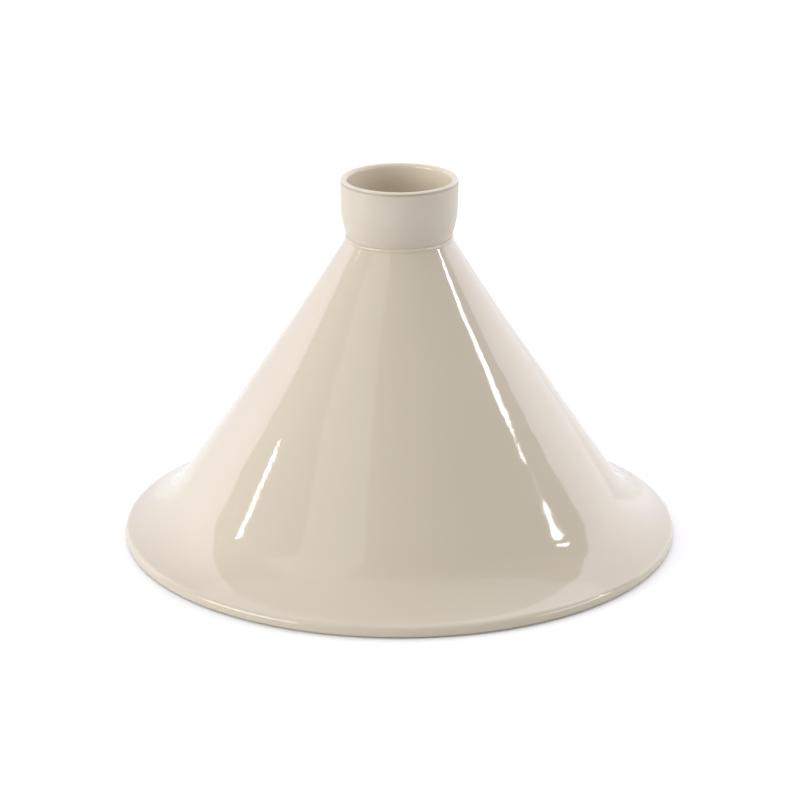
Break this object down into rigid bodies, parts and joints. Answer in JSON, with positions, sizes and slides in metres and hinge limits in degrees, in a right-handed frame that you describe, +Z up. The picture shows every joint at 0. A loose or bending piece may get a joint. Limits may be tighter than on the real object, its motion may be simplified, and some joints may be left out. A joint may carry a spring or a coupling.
{
  "type": "tagine lid",
  "caption": "Hollow conical stoneware lid with a flared brim that stands on a bare foot ring, and a small open cup on top as its grip.",
  "frame": {"origin": "centre of the bottom, on the axis of revolution, in the plane that the foot ring rests on", "axes": "+Z up along the axis of revolution, from the foot ring towards the cup; the part is the same all round, so X and Y are free"},
  "size_m": [0.3, 0.3, 0.1993],
  "materials": {
    "stoneware": "dry, fired",
    "cone_glaze": "glossy",
    "inner_glaze": "glossy",
    "cup_stoneware": "dry, fired",
    "cup_glaze": "glossy",
    "bead_glaze": "glossy"
  },
  "bodies": {
    "root": {"cone_shell": "stoneware", "cone_glaze": "cone_glaze", "inner_glaze": "inner_glaze", "cup_shell": "cup_stoneware", "cup_glaze": "cup_glaze", "neck_bead": "bead_glaze"}
  },
  "joints": []
}
